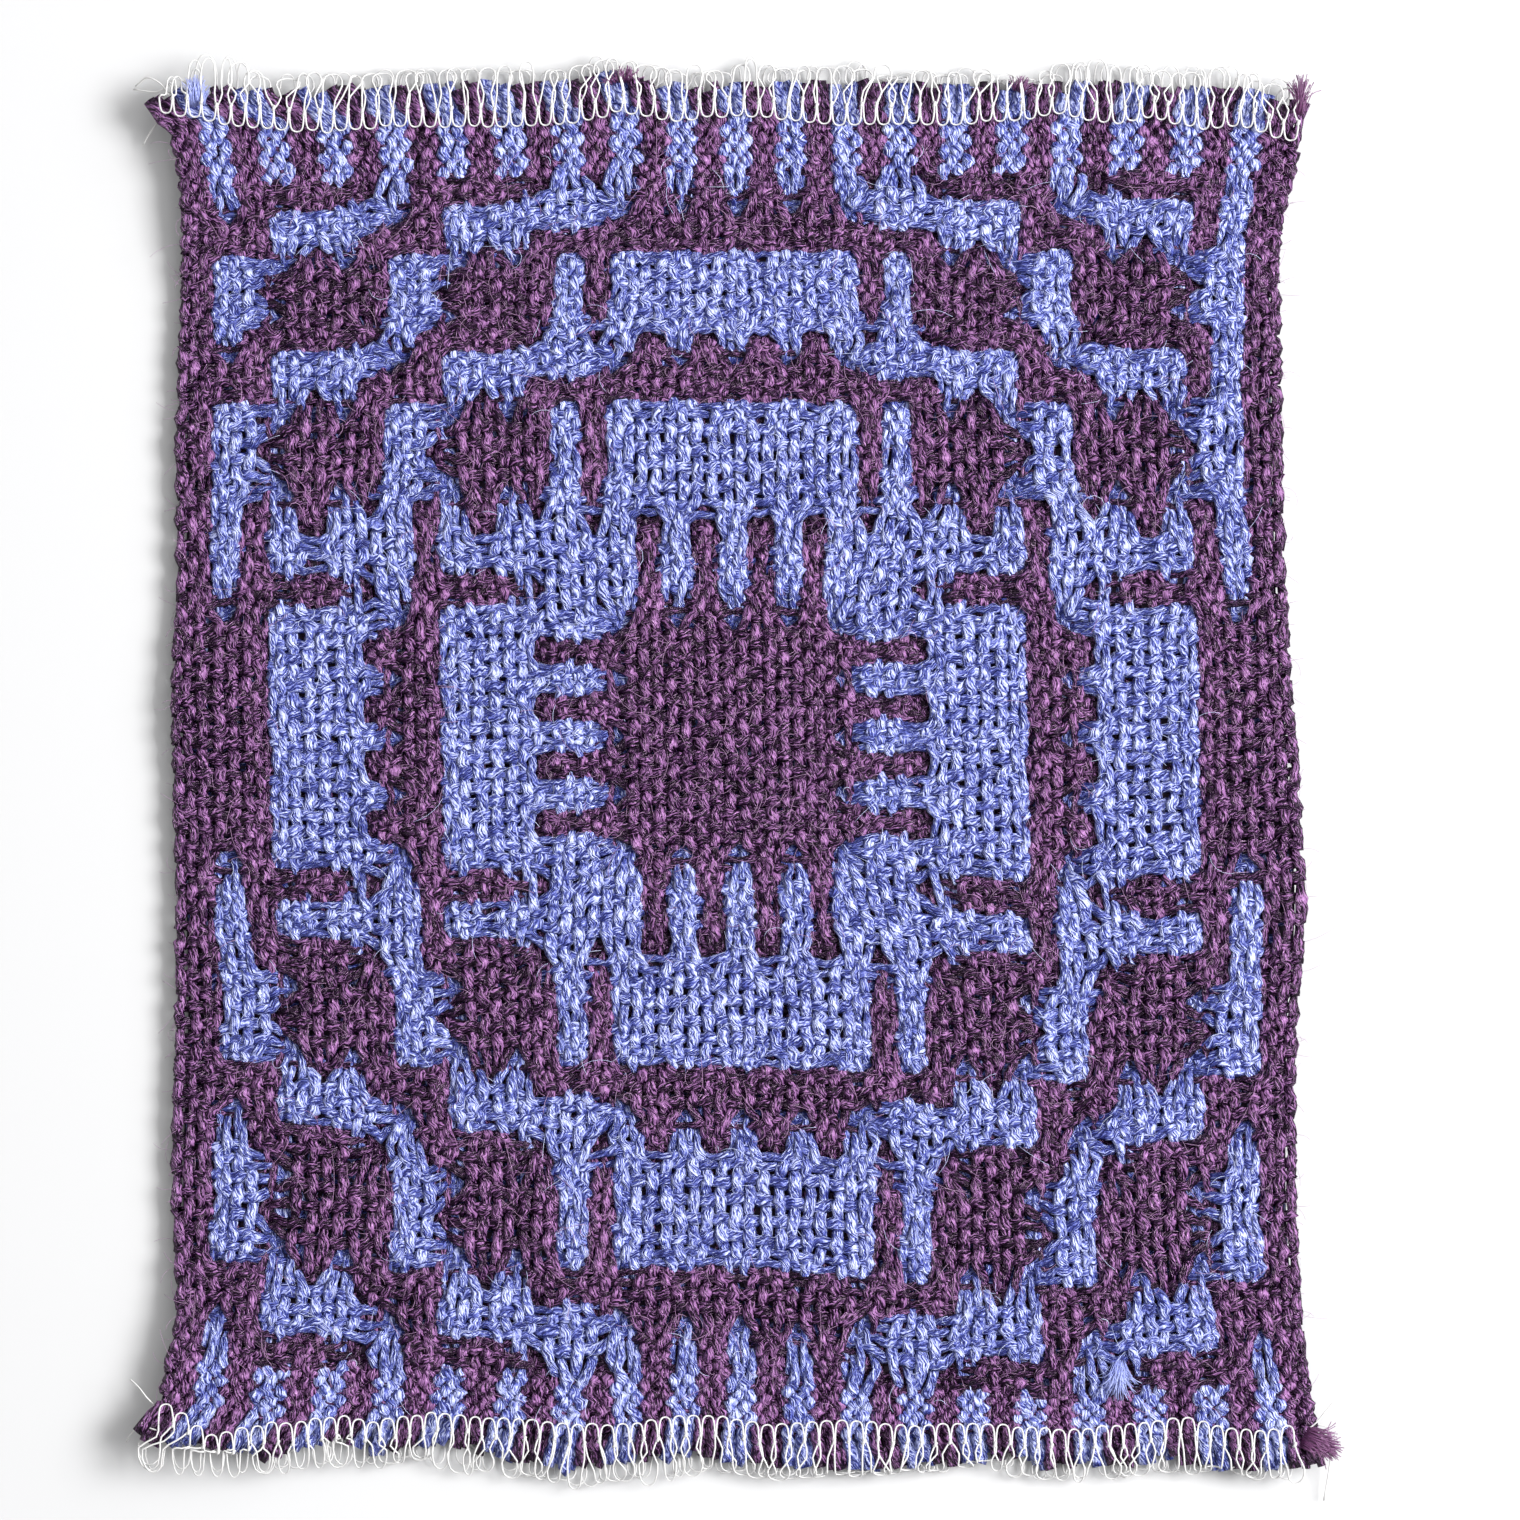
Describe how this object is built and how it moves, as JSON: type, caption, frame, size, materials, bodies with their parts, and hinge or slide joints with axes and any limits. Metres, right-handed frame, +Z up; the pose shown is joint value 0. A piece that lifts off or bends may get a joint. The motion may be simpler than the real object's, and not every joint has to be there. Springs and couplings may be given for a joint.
{
  "type": "woven fabric sample",
  "caption": "Thick flat woven sample of double cloth in two colours of yarn, with both cut ends overlocked.",
  "frame": {"origin": "on the surface that the cloth lies on, under the middle of its box", "axes": "+Z up through the cloth, +Y along the warp towards the picture's top end, +X along the weft"},
  "size_m": [0.1307, 0.1548, 0.0063],
  "materials": {
    "cloth": "woven, two colours of soft plied yarn"
  },
  "bodies": {
    "root": {"cloth": "cloth"}
  },
  "joints": []
}
